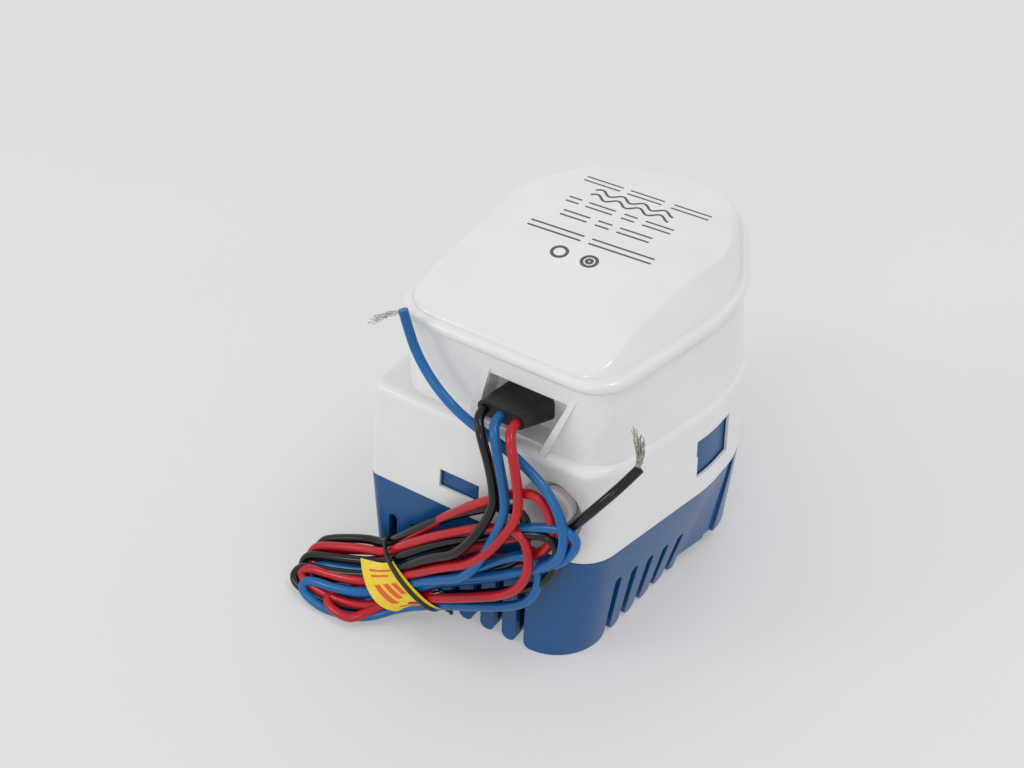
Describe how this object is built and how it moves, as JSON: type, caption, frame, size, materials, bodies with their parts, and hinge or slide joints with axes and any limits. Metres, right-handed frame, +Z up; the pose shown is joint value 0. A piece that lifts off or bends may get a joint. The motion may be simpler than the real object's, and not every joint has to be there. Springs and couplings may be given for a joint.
{
  "type": "bilge pump",
  "caption": "Automatic submersible bilge pump: white domed housing on a blue slotted strainer base, rear hose barb, test knob and loose wire leads.",
  "frame": {"origin": "floor level, at the centre of the pump's own box in plan, leads left out", "axes": "+Z up, +Y towards the hose barb, -Y towards the leads and the test knob"},
  "size_m": [0.1154, 0.18, 0.1185],
  "materials": {
    "housing_white": "satin moulded ABS",
    "cap_white": "polished moulded ABS",
    "strainer_blue": "satin moulded ABS",
    "black_rubber": "moulded rubber",
    "motor_steel": "zinc plated steel",
    "stainless": "stainless steel",
    "copper": "enamelled copper",
    "sintered_bronze": "sintered bronze",
    "ferrite": "sintered ferrite",
    "laminations": "stacked steel laminations",
    "carbon": "pressed carbon",
    "inner_plastic": "moulded nylon",
    "volute_white": "moulded ABS",
    "impeller_grey": "moulded acetal",
    "float_grey": "foamed polypropylene",
    "switch_glass": "clear glass capsule",
    "knob_white": "satin moulded ABS",
    "wire_black": "soft PVC insulation",
    "wire_blue": "soft PVC insulation",
    "wire_red": "soft PVC insulation",
    "tinned_strands": "tinned copper strands",
    "tag_yellow": "printed vinyl",
    "tie_black": "plastic-coated wire tie"
  },
  "bodies": {
    "strainer": {"strainer_base": "strainer_blue"},
    "latch_right": {"latch_tab_right": "strainer_blue"},
    "latch_left": {"latch_tab_left": "strainer_blue"},
    "rotor": {"armature_core": "laminations", "armature_windings": "copper", "commutator": "copper", "shaft": "stainless", "impeller": "impeller_grey", "impeller_nut": "stainless"},
    "float": {"float_body": "float_grey", "float_magnet": "ferrite"},
    "knob": {"test_knob": "knob_white", "knob_finger": "knob_white"},
    "housing": {"pump_housing": "housing_white", "cap_gasket": "black_rubber", "top_cap": "cap_white", "motor_can": "motor_steel", "motor_end_cap": "inner_plastic", "motor_ring": "black_rubber", "field_magnets": "ferrite", "brush_holder": "inner_plastic", "brushes": "carbon", "brush_springs": "stainless", "upper_bush": "sintered_bronze", "lower_bush": "sintered_bronze", "shaft_seal": "black_rubber", "volute_cover": "volute_white", "volute_o_ring": "black_rubber", "volute_screws": "stainless", "discharge_barb": "volute_white", "barb_o_ring": "black_rubber", "float_pin": "stainless", "reed_switch": "switch_glass", "knob_o_ring": "black_rubber", "knob_spring": "stainless", "cable_gland": "black_rubber", "inner_leads": "wire_black", "wire_hank": "wire_black", "twist_tie": "tie_black", "hank_tag": "tag_yellow", "lead_black": "wire_black", "lead_blue": "wire_blue", "lead_red": "wire_red", "tail_blue": "wire_blue", "tail_black": "wire_black", "strands_blue": "tinned_strands", "strands_black": "tinned_strands"}
  },
  "joints": [
    {"name": "housing_lift", "type": "slide", "parent": "strainer", "child": "housing", "axis": [0, 0, 1], "range_m": [0, 0.06]},
    {"name": "rotor_spin", "type": "hinge", "parent": "housing", "child": "rotor", "pos_m": [-0.008, -0.002, 0.06], "axis": [0, 0, 1], "continuous": true},
    {"name": "float_swing", "type": "hinge", "parent": "housing", "child": "float", "pos_m": [0.0155, -0.033, 0.036], "axis": [-1, 0, 0], "range_deg": [0, 32]},
    {"name": "knob_turn", "type": "hinge", "parent": "housing", "child": "knob", "pos_m": [0.022, -0.07, 0.06], "axis": [0, -1, 0], "range_deg": [0, 90], "stiffness_Nm_per_rad": 0.01},
    {"name": "latch_right_flex", "type": "hinge", "parent": "strainer", "child": "latch_right", "pos_m": [0.0435, -0.0178, 0.0445], "axis": [0, -1, 0], "range_deg": [0, 5], "stiffness_Nm_per_rad": 0.8},
    {"name": "latch_left_flex", "type": "hinge", "parent": "strainer", "child": "latch_left", "pos_m": [-0.0125, -0.0711, 0.0445], "axis": [-1, 0, 0], "range_deg": [0, 5], "stiffness_Nm_per_rad": 0.8}
  ]
}
